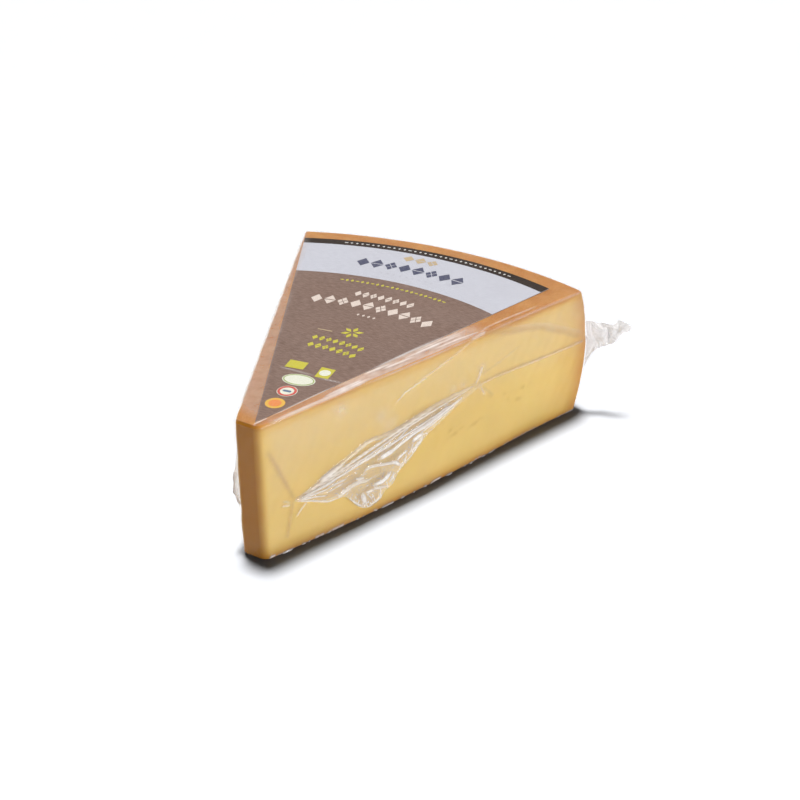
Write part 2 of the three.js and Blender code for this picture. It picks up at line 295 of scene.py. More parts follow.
class Skin:
    """The wedge's whole surface as one closed grid: sides level by level, a capped top and a plain base.

    side_steps and edge_steps set the levels, along the steps on each cut face, across those on heel and nose.
    The cap is ruled between its four edges both ways, less their corners' bilinear blend."""

    CORNER_STEPS = 5
    FRONT_FACE, FRONT_HEEL_CORNER, LEFT_FACE, LEFT_NOSE_CORNER, NOSE_FACE, CAP, FOOT = 1, 2, 5, 6, 7, 8, 9

    def __init__(self, side_steps, edge_steps, along, across):
        counts = [self.CORNER_STEPS, along, self.CORNER_STEPS, across - 2 * self.CORNER_STEPS] * 2
        stations = [np.arange(n)[None, :] / n for n in counts]
        stations[3] = crowded(stations[3])
        stations[7] = 1 - crowded(1 - stations[7])
        turn, rise = edge_levels(side_steps, edge_steps)
        tuck = 1 - np.cos(turn)
        cut, heel, nose = (EDGE_RADIUS[k] * tuck for k in ("cut", "heel", "nose"))
        plan, normal = outline(height_of(turn, rise, EDGE_RADIUS["heel"]), cut, nose, heel, stations)
        edges = [EDGE_RADIUS[k] for k in "nose cut cut heel heel cut cut nose nose".split()]
        radius = np.concatenate([blend(*part) for part in zip(edges, edges[1:], stations)], axis=1)
        z = height_of(turn, rise, radius)
        stretch = np.broadcast_to(np.repeat(np.arange(8), counts), z.shape)
        plan = plan + normal * np.where(stretch == self.FRONT_FACE, sag(along_front(plan), z), 0)
        levels, columns = plan.shape
        last = (levels - 1) * columns
        start = last + np.concatenate([[0], np.cumsum(counts)])
        front = start[1] + np.arange(along + 1)
        heel_row = start[2] + np.arange(across + 1)
        left = start[6] - np.arange(along + 1)
        nose_row = last + (start[1] - last - np.arange(across + 1)) % columns
        flat = plan.ravel()
        u = np.linspace(0, 1, along + 1)[:, None]
        v = crowded(np.linspace(0, 1, across + 1))[None, :]
        cap = blend(flat[front][:, None], flat[left][:, None], v) + blend(flat[nose_row], flat[heel_row], u)
        cap = cap - blend(blend(flat[front[0]], flat[left[0]], v), blend(flat[front[-1]], flat[left[-1]], v), u)
        cap = cap[1:-1, 1:-1]
        index = np.zeros((along + 1, across + 1), dtype=int)
        index[1:-1, 1:-1] = flat.size + np.arange(cap.size).reshape(cap.shape)
        index[:, 0], index[:, -1], index[0], index[-1] = front, left, nose_row, heel_row
        foot = flat.size + cap.size
        ring = np.arange(columns)
        self.plan = np.concatenate([flat, cap.ravel(), [2 * WHEEL_RADIUS / 3]])
        self.normal = np.concatenate([normal.ravel(), np.zeros(cap.size + 1)])
        self.z = np.concatenate([z.ravel(), np.full(cap.size, HEIGHT), [0]])
        self.tuck = np.concatenate([np.broadcast_to(tuck, z.shape).ravel(), np.ones(cap.size + 1)])
        self.up = np.concatenate([np.broadcast_to(rise, z.shape).ravel(), np.ones(cap.size), [0]])
        self.stretch = np.concatenate([stretch.ravel(), np.full(cap.size, self.CAP), [self.FOOT]])
        self.faces = [
            grid_faces(np.arange(levels * columns).reshape(levels, columns), wrap=True),
            grid_faces(index.T),
            np.stack([np.full(columns, foot), (ring + 1) % columns, ring], axis=1),
        ]

    def points(self, out=0, over=0, under=0):
        """The surface moved out at its sides, over its top and under its base, as the rounded edges turn."""
        upright = 1 - self.tuck
        lift = np.sqrt(1 - upright**2) * np.where(self.up > 0.5, over, -under)
        return raised(self.plan + self.normal * out * upright, self.z + lift)


# ---- meshes


def grid_faces(index, wrap=False):
    """Quads between neighbouring rows of a grid of vertex numbers, facing up to the rows' left."""
    if wrap:
        index = np.concatenate([index, index[:, :1]], axis=1)
    corners = [index[:-1, :-1], index[:-1, 1:], index[1:, 1:], index[1:, :-1]]
    return np.stack(corners, axis=-1).reshape(-1, 4)


def make_piece(name, points, faces, materials, attributes=None, material_of=None, smooth=True):
    """A mesh object at the origin, from points in metres, arrays of faces and named values at its points."""
    mesh = bpy.data.meshes.new(name)
    mesh.from_pydata(points.tolist(), [], [f for part in faces for f in part.tolist()], shade_flat=not smooth)
    for material in materials:
        mesh.materials.append(material)
    if material_of is not None:
        mesh.polygons.foreach_set("material_index", np.concatenate(material_of).astype(np.int32))
    for key, values in (attributes or {}).items():
        layer = mesh.attributes.new(key, "FLOAT", "POINT")
        layer.data.foreach_set("value", np.asarray(values, np.float32).ravel())
    mesh.validate()
    piece = bpy.data.objects.new(name, mesh)
    bpy.context.scene.collection.objects.link(piece)
    return piece


def sheet(grid, thickness):
    """A grid of points given a thickness: moved half of it each way along its normals, its border closed.

    It gives the points and the faces of the front, the back and the border."""
    rows, columns = grid.shape[:2]
    normal = np.cross(np.gradient(grid, axis=1), np.gradient(grid, axis=0))
    normal /= np.maximum(np.linalg.norm(normal, axis=2, keepdims=True), 1e-9)
    half = normal * thickness / 2
    points = np.concatenate([(grid + half).reshape(-1, 3), (grid - half).reshape(-1, 3)])
    index = np.arange(rows * columns).reshape(rows, columns)
    front = grid_faces(index)
    back = front[:, ::-1] + rows * columns
    border = np.concatenate([index[0, :-1], index[:-1, -1], index[-1, :0:-1], index[:0:-1, 0]])
    onward = np.roll(border, -1)
    rim = np.stack([onward, border, border + rows * columns, onward + rows * columns], axis=1)
    return points, [front, back, rim]


# ---- materials


def linear(code):
    """An sRGB hex colour as linear RGBA."""
    channels = [int(code[i:i + 2], 16) / 255 for i in (1, 3, 5)]
    return (*[c / 12.92 if c <= 0.04045 else ((c + 0.055) / 1.055) ** 2.4 for c in channels], 1)


def lumps(size_mm):
    """The scale of a noise whose lumps are about size_mm across, on coordinates in metres."""
    return 1000 / size_mm


def add_node(tree, kind, *values, out=None, stops=(), **named):
    """Adds a node with its settings and links, and gives its first output, or the one named out.

    Values go to its open inputs in turn. A name in lower case is a setting, and any other an input. An input
    takes a node's output as a link, a hex code as a linear colour, and the rest as it is. stops are a colour
    ramp's places and colours, and a Mix node mixes colours."""
    node = tree.nodes.new("ShaderNode" + kind)
    if kind == "Mix":
        node.data_type = "RGBA"
    for k, (place, code) in enumerate(stops):
        element = node.color_ramp.elements[k] if k < 2 else node.color_ramp.elements.new(place)
        element.position, element.color = place, linear(code)
    for key in [key for key in named if key.islower()]:
        setattr(node, key, named.pop(key))
    sockets = list(zip([s for s in node.inputs if s.enabled], values))
    for socket, value in sockets + [(node.inputs[key.replace("_", " ")], named[key]) for key in named]:
        if isinstance(value, bpy.types.NodeSocket):
            tree.links.new(value, socket)
        else:
            socket.default_value = linear(value) if isinstance(value, str) else value
    return node.outputs[out] if out else next((s for s in node.outputs if s.enabled), None)


def new_material(name):
    """A new material, the function that adds its nodes, and its Object coordinates, in metres."""
    material = bpy.data.materials.new(name)
    material.use_nodes = True
    material.node_tree.nodes.clear()
    add = partial(add_node, material.node_tree)
    return material, add, add("TexCoord", out="Object")


def cheese_material():
    """Hard pressed cheese, cut and left under film, with a smear-ripened rind.

    The paste is a butter yellow that deepens within a centimetre of the rind. Light soaks into it, so its edges
    glow. At the nose it is a darker brown. The rind is an orange-brown skin with the press cloth's weave."""
    material, add, here = new_material("hard_cheese_cut_paste_and_smear_ripened_rind")
    depth = add("Attribute", out="Fac", attribute_name="under_rind")
    seam_and_crease_shade = add("Attribute", out="Fac", attribute_name="seam_and_crease_shade")
    nose_darkening = add("Attribute", out="Fac", attribute_name="nose_darkening")
    mottle = add("TexNoise", here, lumps(34), 3, 0.55)
    blush = add("TexNoise", here, lumps(14), 5, 0.6)
    weave = add("TexNoise", add("Mapping", here, Scale=(1, 2.4, 1)), lumps(1.6), 2, 0.5)
    paste = add("ValToRGB", add("MapRange", depth, 0, 30), stops=[
        (0, "#b57c38"), (0.06, "#c2853a"), (0.17, "#dab05e"), (0.36, "#e2bf6e"), (0.6, "#e0bf6e"),
        (1, "#ddbb6a")])
    paste = add("Mix", add("MapRange", mottle, 0.35, 0.65, 0, 0.3), paste, "#d7b461")
    # Darker at the curd seams, and a painted shade under the film's creases.
    paste = add("Mix", seam_and_crease_shade, paste, "#b88e48")
    paste = add("Mix", nose_darkening, paste, "#a0660c")
    rind = add("ValToRGB", blush, stops=[(0.3, "#ad713c"), (0.5, "#b67d46"), (0.7, "#c08a50")])
    rind = add("Mix", add("MapRange", weave, 0.4, 0.7, 0, 0.4), rind, "#ca9a66")
    uneven = add("Math", depth, add("MapRange", blush, 0.3, 0.7, -0.3, 0.3), operation="ADD")
    on_rind = add("MapRange", uneven, 0.5, 1.1, 1, 0)
    pressed = add("Math", weave, on_rind, operation="MULTIPLY")
    relief = add("Bump", Strength=0.25, Distance=0.0004, Height=pressed)
    curd = add("TexNoise", here, lumps(2.5), 4, 0.55)
    add("OutputMaterial", add(
        "BsdfPrincipled", Base_Color=add("Mix", on_rind, paste, rind), Roughness=0.5, Specular_IOR_Level=0.1,
        Subsurface_Weight=0.35, Subsurface_Radius=(1, 0.55, 0.2), Subsurface_Scale=0.005,
        Normal=add("Bump", Strength=0.12, Distance=0.0003, Height=curd, Normal=relief)))
    return material


def paper_material(name, code, fleck):
    """Uncoated label paper with a flat offset print: a matt field of colour, broken by the paper's fibres,
    which are drawn many times as coarse as real ones, so that they show."""
    material, add, here = new_material(name)
    fibre = add("TexNoise", add("Mapping", here, Scale=(1.5, 0.22, 1)), lumps(1.1), 3, 0.6)
    cloud = add("TexNoise", here, lumps(40), 2, 0.55)
    colour = add("Mix", add("MapRange", fibre, 0.35, 0.65, 0, 0.9), code, fleck)
    colour = add("Mix", add("MapRange", cloud, 0.3, 0.7, 0, 0.3), colour, fleck)
    add("OutputMaterial", add(
        "BsdfPrincipled", Base_Color=colour, Roughness=0.65, Specular_IOR_Level=0.1,
        Normal=add("Bump", Strength=0.1, Distance=0.0001, Height=fibre)))
    return material


def film_material(name, ripple, strength):
    """Co-extruded polyamide and polyethylene pouch film: clear and glossy, hazy where gathered or creased.

    haze at the mesh's points says how much of it is cloudy grey, which turns to a painted grey-brown shade
    where the haze is densest. glare says how much of it is a flat white that paints its highlights and glints,
    partly the film's real whitening where crumpled. ripple is the size of its finest puckers in millimetres,
    and strength how sharp they are."""
    material, add, here = new_material(name)
    haze = add("Attribute", out="Fac", attribute_name="haze")
    glare = add("Attribute", out="Fac", attribute_name="glare")
    pull = add("TexNoise", here, lumps(ripple), 3, 0.6)
    bump = add("Bump", Strength=strength, Distance=0.0004, Height=pull)
    # Dense haze turns a darker grey-brown: a painted shade for deep folds.
    grey = add("ValToRGB", haze, stops=[(0, "#f1e5e0"), (0.35, "#e6dad4"), (0.7, "#a8998c")])
    # The glare shader is a flat white, diffuse and translucent: painted highlights and glints, partly the
    # film's real whitening.
    clouded, painted_glare_shader = [
        add("MixShader", share, add("BsdfDiffuse", Color=colour), add("BsdfTranslucent", Color=colour))
        for share, colour in ((0.4, grey), (0.15, "#f7f4f2"))]
    uneven = add("MapRange", pull, 0.3, 0.7, 0.85, 1.15)
    cover = add("Math", haze, uneven, operation="MULTIPLY")
    body = add("MixShader", cover, add("BsdfTransparent"), clouded)
    body = add("MixShader", add("Math", glare, uneven, operation="MULTIPLY"), body, painted_glare_shader)
    steep = add("Math", add("LayerWeight", 0.5, bump, out="Facing"), 5, operation="POWER")
    gloss = add("BsdfGlossy", Color=(1, 1, 1, 1), Roughness=0.1, Normal=bump)
    shine = add("MapRange", steep, 0, 1, 0.028, 0.3)
    add("OutputMaterial", add("MixShader", shine, body, gloss))
    return material


def ink_material(name, code):
    """Offset ink on paper: a flat colour with a faint sheen, broken by fibres drawn coarse enough to show."""
    material, add, here = new_material("offset_ink_" + name)
    fibre = add("TexNoise", here, lumps(0.9), 2, 0.55)
    paler = (*[0.7 * c + 0.15 for c in linear(code)[:3]], 1)
    colour = add("Mix", add("MapRange", fibre, 0.4, 0.75, 0, 0.5), code, paler)
    add("OutputMaterial", add("BsdfPrincipled", Base_Color=colour, Roughness=0.5, Specular_IOR_Level=0.1))
    return material


def floor_material():
    """Matt painted board: an even mid grey that its own lamp lights to white, so that shadows stay deep."""
    material, add, here = new_material("matt_painted_board")
    grain = add("TexNoise", here, lumps(30), 2, 0.55)
    colour = add("Mix", grain, "#666769", "#68696b")
    add("OutputMaterial", add("BsdfPrincipled", Base_Color=colour, Roughness=0.8, IOR=1.45))
    return material


# ---- the cheese

# Faint darker marks where curds have joined: distance from the nose, height, half-length and slope.
CURD_SEAMS = [(207, 35, 4, -0.5), (214, 32.5, 4, -0.3), (220, 39.5, 5, 0), (203, 41.5, 4, -0.3),
              (235, 28, 2, -1), (156, 30.5, 7, 0.2), (173, 30.5, 6, 0.15), (150, 34, 4, 0.3),
              (186, 46, 5, -0.8), (140, 41, 5, 0.4)]
CURD_SEAM_WIDTH = 1.5

# Painted shade of the film's creases and folds, drawn as darker lines in the paste: points, then height,
# width, depth of colour and glare.
ARC_CREASE = [176+94.2j, 189+92j, 197+89.2j, 206+86.7j, 220+83.8j, 234+80j, 245+74.6j, 258+68.4j, 270+61.5j,
              278+58j]
RAY_UP = [6.4+75.5j, 10.3+67j, 15+55.4j, 19+45.8j, 22.7+36.5j]
RAY_DOWN = [21.8+35.4j, 20.5+29.9j, 19.1+23.3j, 16.6+12.4j]
CREASE_SHADE_LINES = [
    (ARC_CREASE, 0, 2.6, 0.55, 0),
    (RAY_UP, 0, 2.2, 0.6, 0),
    (RAY_DOWN, 0, 2.2, 0.4, 0),
    ([176+58.8j, 205+57.8j, 245+55.6j, 278+55j], 0, 2, 0.35, 0),
]

UNDER_FILM = 0.4
OFF_BASE = 0.25


def build_cheese():
    """The wedge's skin moved in under the film, with the low unevenness of a cut face and a pressed rind.

    Its values are the depth under the rind, as the nearest of top, base and heel, the seams, as bell curves
    across short lines, with a painted shade along the film's creases, and how much darker and browner it is at
    the nose."""
    skin = Skin(side_steps=70, edge_steps=5, along=170, across=80)
    points = skin.points(under=-OFF_BASE)
    x, y, z = points.T
    side = skin.tuck < 0.5
    out = 0.35 * swirls(x + y, 1.7 * z + 0.3 * x, 46) + 0.15 * swirls(x, z + y, 17, 2) - UNDER_FILM
    over = np.where((skin.up > 0.5) & ~side, 0.15 * swirls(x, y, 60, 1) + 0.1, 0)
    points += raised(skin.normal * np.where(side, out, 0), over)
    s = along_front(x + 1j * y)
    from_heel = heel_radius(np.clip(z, 0, HEIGHT)) - np.hypot(x, y)
    from_heel = np.where(from_heel > 1.2, 0.84 + 0.3 * from_heel, from_heel)
    from_top = np.maximum(HEIGHT - z + np.where(side, 0.9 - 1.9 * ease(s, 165, 205), 0), 0)
    depth = np.minimum(np.minimum(z, from_top), from_heel)
    on_front, on_left = skin.stretch == skin.FRONT_FACE, skin.stretch == skin.LEFT_FACE
    reach = np.where(on_left, 20 + along_left(x + 1j * y), s)
    s0, z0, half_length, tilt = np.array(CURD_SEAMS).T[:, :, None]
    lengthwise = ((reach - s0) + tilt * (z - z0)) / half_length
    crosswise = ((z - z0) - tilt * (reach - s0)) / CURD_SEAM_WIDTH
    seam_and_crease_shade = 0.45 * np.exp(-(lengthwise**2) - crosswise**2).sum(axis=0)
    seam_and_crease_shade = seam_and_crease_shade * ease(swirls(x + y, z, 5), -0.6, 0.5) * (on_left | on_front)
    # Painted shade: darker lines in the paste along the film's creases and the weld's fold.
    seam_and_crease_shade = seam_and_crease_shade + np.where(on_front, creased(s, z, CREASE_SHADE_LINES)[1], 0)
    # Darker and browner on the nose face, at its corners and over the front cut's first few millimetres.
    nose_darkening = 1 * (skin.stretch == skin.NOSE_FACE) + 0.8 * (skin.stretch == skin.LEFT_NOSE_CORNER)
    nose_darkening = nose_darkening + np.where(skin.stretch <= skin.FRONT_FACE, 1 - ease(s, -2, 5), 0)
    piece = make_piece("cheese", placed(points), skin.faces, [cheese_material()],
                       {"under_rind": np.clip(depth, 0, 60), "seam_and_crease_shade": seam_and_crease_shade, "nose_darkening": nose_darkening})
    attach(piece, "root")
    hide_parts("cheese_wedge")


# ---- the film that lies on the cheese

WEB_CREASE = [28+36.5j, 40+41.5j, 46+44j, 52+46.3j, 58+48j, 66+50.5j, 72+52.5j, 78+54.5j, 83+55.2j, 88+54.5j,
              100+54j, 110+55.3j, 120+57j, 135+59j, 150+60j, 162+60j, 175+60.5j]
WELD_CREASE = [28+36.2j, 40+38.6j, 50+40.1j, 60+42.1j, 70+43.4j, 76+44.3j, 84+46.1j, 92+47.8j, 100+49.7j,
               110+52.1j, 120+53.8j, 130+55.2j, 145+57j, 162+58.6j]
# Creases on the front cut: points, then height, width, haze and glare.
FRONT_CREASES = [
    (RAY_UP, 0.2, 1, 0.12, 0),
    (RAY_DOWN, 0.2, 1.2, 0.12, 0),
    ([23.5+24j, 28+28.3j, 32+31.2j], 0.6, 1.1, 0.1, 0.35),
    ([13.5+35.6j, 19.5+33.8j], 0.5, 1.1, 0.1, 0.35),
    ([14.5+38.6j, 19.5+35.6j], 0.4, 0.9, 0.1, 0.2),
    (WEB_CREASE, 1.5, 1.7, 0.08, 0.3),
    ([41+41.8j, 48+43.9j, 54+45.8j, 60+47.4j], 1.4, 2, 0.1, 0.75),
    ([69+52.2j, 78+54.6j, 86+55j], 1.6, 1, 0, 0.55),
    ([24+36.5j, 40+40.3j, 53.4+42.9j, 69.1+46.4j, 85.1+49.8j, 114.1+55.2j, 135.5+58.6j], 1.6, 1.2, 0, 0.7),
    (WELD_CREASE, 2, 1.4, 0.05, 0.7),
    ([176+59.2j, 190+59.5j, 205+58.5j, 225+57.2j, 245+56.4j, 265+55.7j, 278+56j], 0, 1.6, 0.2, 0),
    (ARC_CREASE, 0.1, 2, 0.08, 0),
    ([196+93.6j, 206+89.6j, 220+86.6j, 234+82.6j, 246+77.2j, 259+70.8j, 278+61j], 0.1, 1.8, 0.08, 0.06),
    ([103+72.8j, 110+77j, 120+79.4j, 130+81.2j], 0.7, 0.9, 0, 0.35),
    ([118+80.4j, 134+83.4j, 150+87.4j, 163+91.6j, 173+94.4j], 0.4, 1.5, 0.06, 0.14),
    ([167+94j, 174+94.4j, 181+95.2j], 0.4, 1.5, 0, 0.35),
    ([184+94.4j, 230+94.5j, 276+94.5j], 0.2, 0.9, 0, 0.15),
    ([171.5+60.5j, 175+65j, 177.2+70j], 0.9, 1.5, 0.25, 0.15),
    ([176+57.5j, 178+53.5j, 180.5+49.5j], 0.6, 1.5, 0.2, 0.15),
    ([175+58j, 181+53j, 188+46.5j], 0.4, 1, 0.16, 0),
    ([178+65.5j, 195+69j, 212+73.5j], 0.4, 1.2, 0.14, 0),
    ([82+94.3j, 120+94.3j, 168+94.5j], 0.3, 0.9, 0, 0.25),
    ([9+94.9j, 20+95j, 50+95.2j, 82+95.4j], 0.2, 1, 0, 0.42),
]
# Spots of painted pale reflection on the front cut: distance from the nose, height and size.
PAINTED_REFLECTION_SPOTS = [(151.5, 64.5, 3.9), (177.3, 69.3, 3.9), (60, 84, 5.1), (91.5, 67.5, 4.5), (97.7, 59, 6.4),
         (160.5, 64.5, 3)]
# Creases along the top's front edge, the same, but with the depth inside the cut in place of the height.
EDGE_CREASES = [
    ([8+0j, 20+0.1j, 46+0.2j, 62+0.6j, 84+1.2j], 0.2, 1, 0, 0.42),
    ([50+1.2j, 60+2j, 78+2.4j], 0.3, 1.3, 0, 0.4),
    ([177+0.4j, 184+2.4j, 200+2.8j, 232+2.4j], 0.2, 0.9, 0, 0.25),
    ([0.5+3.5j, 5+3.8j, 10+4.1j], 0.3, 0.9, 0, 0.6),
    ([8+4j, 30+5.4j, 62+7.4j], 0.2, 0.7, 0, 0.35),
    ([96+9.1j, 120+10.2j, 152+11.5j], 0.4, 0.9, 0, 0.4),
    ([86+6.8j, 94+6.7j, 104+6.3j], 0.4, 1.2, 0, 0.36),
    ([98+4.3j, 110+4j, 122+3.9j], 0.4, 1.2, 0, 0.36),
    ([118+5.8j, 140+6.1j, 164+6.4j], 0.4, 1.2, 0, 0.36),
    ([128+8.6j, 148+8.9j, 170+8.2j], 0.3, 0.9, 0, 0.25),
    ([140+2.6j, 158+2.6j, 176+1.4j], 0.3, 1, 0, 0.3),
]
# The label's edge beside the front cut, measured like these creases, and two creases across it in plan.
LABEL_EDGE = [0+3.6j, 60+7.3j, 100+9.3j, 150+11.4j, 270+16j]
LABEL_CREASES = [[92.5+13.7j, 92.8-8.3j], [91.3-13.4j, 92.8-29.3j]]

SKIN_OUT = 0.45
SKIN_OVER_LABEL = 0.3
MOST_GLARE = 0.9


def front_film(s, z):
    """Rise, haze and glare of the film on the front cut: tents along creases and a web between the ridges.

    A bell-shaped lip runs along the foot, broken into tucks and carrying painted glints, and bell-shaped spots
    are painted pale reflections."""
    rise, haze, glare = creased(s, z, FRONT_CREASES)
    low, high = curve_through(WELD_CREASE, s), curve_through(WEB_CREASE, s)
    web = within(z, low - 0.5, low + 0.5, high - 0.5, high + 0.5) * within(s, 27, 35, 165, 176)
    lip = np.exp(-(((z - 2.3 - 0.9 * swirls(s, 0.3 * s, 19)) / 0.6) ** 2)) * (1 - 0.6 * ease(s, 150, 220))
    tucks = ease(swirls(s, 0.2 * s, 13, 1) + 0.5 * swirls(s, 0.5 * s, 5, 2), -0.35, 0.35)
    rise = rise + 0.1 + 0.1 * swirls(s, 1.6 * z, 37, 3) + 0.9 * web + 0.8 * lip * tucks
    haze = haze + 0.01 + 0.03 * ease(swirls(0.6 * s, z, 44, 5), 0, 0.9) + 0.05 * web
    # Painted sheen high on the cut, a faint white veil towards the nose, and painted glints on the lip's tucks.
    sheen = 0.12 * ease(z, 35, 80) * (1 - 0.7 * ease(z, 86, 92)) * ease(s, 0, 14)
    glare = glare + sheen + 0.03 * (1 - ease(s, 10, 120)) + 0.05 * web + 0.8 * lip * tucks
    # Painted pale reflections in soft spots.
    for s0, z0, size in PAINTED_REFLECTION_SPOTS:
        glare = glare + 0.15 * np.exp(-((s - s0) ** 2 + (z - z0) ** 2) / (0.9 * size**2))
    return rise, haze, np.clip(glare, 0, MOST_GLARE)


def top_film(x, y):
    """Rise, haze and glare of the film on top: creased along the front edge with painted highlights, a painted
    glare from there to the label, veiled along the left edge, and held up in two tents across the label, whose
    crests carry painted highlights."""
    plan = x + 1j * y
    s = along_front(plan)
    inside = -dot(FRONT[2], plan - NOSE_RIGHT)
    rise, haze, glare = creased(s, inside, EDGE_CREASES)
    label_edge = curve_through(LABEL_EDGE, s)
    strip = 1 - ease(inside, label_edge - 0.8, label_edge)
    veil_edge = 11.6 - 0.04 * along_left(plan)
    veil = (1 - ease(-dot(LEFT[2], plan - NOSE_LEFT), veil_edge, veil_edge + 2.4)) * ease(s, 0, 12)
    rise = rise + 0.12
    haze = haze + 0.03 + 0.02 * ease(swirls(x, y, 50), -0.5, 0.5)
    haze = haze + 0.14 * strip * within(s, 2, 12, 55, 90) + 0.36 * veil
    # Painted glare on the strip between the front edge and the label.
    glare = glare + strip * within(s, 45, 80, 160, 190) * (0.32 + 0.09 * swirls(s, 3 * inside, 16))
    # The two creases across the label carry painted highlights.
    for line in LABEL_CREASES:
        crease = tent(plan, line, 0.9, end=0.05)
        rise = np.maximum(rise, 0.5 * crease)
        glare = np.maximum(glare, 0.45 * crease)
    return rise, haze, np.clip(glare, 0, MOST_GLARE)


def build_film_skin(film):
    """The bag's clear skin: the wedge's surface moved out to the film, and raised along its creases."""
    skin = Skin(side_steps=88, edge_steps=6, along=280, across=72)
    points = skin.points(out=SKIN_OUT, over=LABEL_TOP - HEIGHT + SKIN_OVER_LABEL)
    x, y, z = points.T
    rise, haze, glare = front_film(along_front(x + 1j * y), z)
    top_rise, top_haze, top_glare = top_film(x, y)
    elsewhere = 0.1 + 0.5 * folds(x + y, 1.3 * z, 26, seed=2) * (skin.stretch < skin.CAP)
    on_front = (skin.stretch == skin.FRONT_FACE) | (skin.stretch == skin.FRONT_HEEL_CORNER)
    on_top = (skin.up > 0.5) & (skin.tuck > 0.35)
    out = np.where(on_front, rise, elsewhere) * (1 - skin.tuck)
    points += raised(skin.normal * out, np.where(on_top, top_rise * skin.tuck, 0))
    haze = np.where(on_top, top_haze, np.where(on_front, haze, 0.01))
    glare = np.where(on_top, top_glare, np.where(on_front, glare, 0))
    piece = make_piece("bag_skin", placed(points), skin.faces, [film], {"haze": haze, "glare": glare})
    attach(piece, "root")
    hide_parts("cheese_wedge")


# ---- the bag's surplus film

FILM_THICKNESS = 0.12
STAND_OFF = 1.3
DROP = np.linspace(0, 1, 52)[None, :]
# Each flap's weld and the hem it hangs down to, as points on the cut face.
FRONT_WELD = [22.6+36.4j, 40+38.4j, 50+39.9j, 60+41.9j, 76+44.1j, 92+47.6j, 110+51.9j, 130+55j, 145+56.8j,
              162+58.4j, 176+59.4j, 190+59.6j, 205+58.6j, 225+57.3j, 245+56.5j, 271+55.8j]
FRONT_FLAP_EDGE = [22.6+35j, 27+33.2j, 34+30.4j, 40+27.4j, 46+25.2j, 53+25j, 59+23.8j, 63+19.4j, 67+14.4j,
                   71.5+10.4j, 78+8.4j, 84+9.3j, 87.5+12j, 91+15j, 96+17j, 99+20j, 102+24.2j, 107+27.2j,
                   112+30j, 118+35.4j, 125+40.4j, 133+43.8j, 142+47j, 152+50.6j, 162+53.4j, 176+57.4j,
                   190+58.3j, 205+57.4j, 225+56.1j, 245+55.3j, 271+54.6j]
LEFT_WELD = [6+70j, 24+66j, 70+60j, 130+55j, 200+56j, 274+55.8j]
LEFT_FLAP_EDGE = [6+32j, 16+29j, 34+36j, 62+29j, 92+35j, 124+44j, 176+51j, 274+54.6j]
# The front flap's creases, listed like the others.
FLAP_CREASES = [
    ([26+36j, 41.8+37.7j, 59.1+40.4j, 76.9+43j, 93.1+45.6j, 113.9+49.1j, 135.4+52.5j], 1.4, 0.9, 0, 0.7),
    ([86+39.6j, 92+40.6j, 98+41.6j, 104+43.6j, 112+46j, 118+47.6j, 125+48.6j, 135+50.6j, 143+52.4j,
      158+55.6j], 1.6, 1.5, 0.1, 0.7),
    ([88+40j, 93+40.8j, 98+41.4j], 1.8, 1.9, 0, 0.85),
    ([25+34.8j, 35+35.3j, 47+35.2j], 1, 0.8, 0.1, 0.5),
    ([25+34.4j, 34+31.4j, 41+28.3j, 47+25.8j, 54+25.2j], 1, 0.8, 0.1, 0.4),
    ([26+34.4j, 36+33.4j, 45+30.8j], 0.9, 0.7, 0.1, 0.45),
    ([26+35.2j, 38+36.8j, 52+38.2j], 0.9, 0.7, 0.1, 0.4),
    ([45+35.4j, 52+36.2j, 60+36.4j], 1, 0.9, 0.1, 0.45),
    ([46+33j, 52+33.8j, 58+34.8j], 0.9, 0.8, 0.1, 0.3),
    ([53+25.6j, 58+28j, 63+29.7j, 70+30.3j, 77+28.4j], 1.8, 1.9, 0.1, 0.4),
    ([74+34.8j, 76+36.4j, 79+36.9j, 85+36j, 92+34.2j, 99+32.6j, 104.5+27.8j], 1.5, 1.1, 0.1, 0.55),
    ([96+33.4j, 99.5+32.4j, 102.5+29.4j], 1.6, 1.3, 0, 0.8),
    ([72.4+20j, 73.2+16.5j, 74+13j], 1.9, 1.9, 0.1, 0.7),
    ([75.5+20.2j, 80.5+19.6j], 1.3, 1.1, 0.1, 0.65),
    ([80+20.6j, 86+19.2j, 93+17.4j], 1.3, 1, 0.1, 0.4),
    ([82.5+23.2j, 88+22.8j, 92.5+24.4j, 95+26.4j], 2, 1.7, 0.1, 0.9),
    ([94.5+20j, 97+22j, 97.4+25j], 1.3, 1.2, 0.1, 0.6),
    ([77+9.8j, 83+10.7j, 87+11.6j], 1.3, 1.1, 0.1, 0.45),
    ([86.6+10.6j, 86.2+15j], 1.3, 1, 0.2, 0.4),
    ([71+12j, 66.4+16.2j, 61.5+21.6j], 1, 0.9, 0.1, 0.45),
    ([100.5+33.8j, 105+35.3j, 109+37.2j], 1.4, 0.9, 0, 0.8),
    ([103+27j, 106.5+30j, 108.6+33.4j], 1.2, 0.9, 0.1, 0.45),
    ([111+34.4j, 116+36.8j, 120+39.4j, 123+43.4j], 1.2, 1, 0.1, 0.5),
    ([114.5+41.8j, 118+43.2j, 122+44.2j], 1.6, 1.7, 0, 0.85),
    ([108+29.4j, 113+32.6j, 118+37j, 124+41.4j], 0.9, 0.8, 0.1, 0.4),
    ([67.5+33.4j, 71+32.2j, 74+31.4j], 1.1, 1.1, 0, 0.5),
    ([126+51.4j, 134+52j, 142+54j, 150+54.2j], 1, 0.8, 0.1, 0.5),
    ([122+45.8j, 130+47j, 139+49.4j, 152+52.4j], 1, 0.9, 0.1, 0.5),
]
STAR = 15.0 + 36.0j
HEEL_FLANGE = 9.0
CORNER_RIDGE = 1.2
EAR_PROUD = 3.0


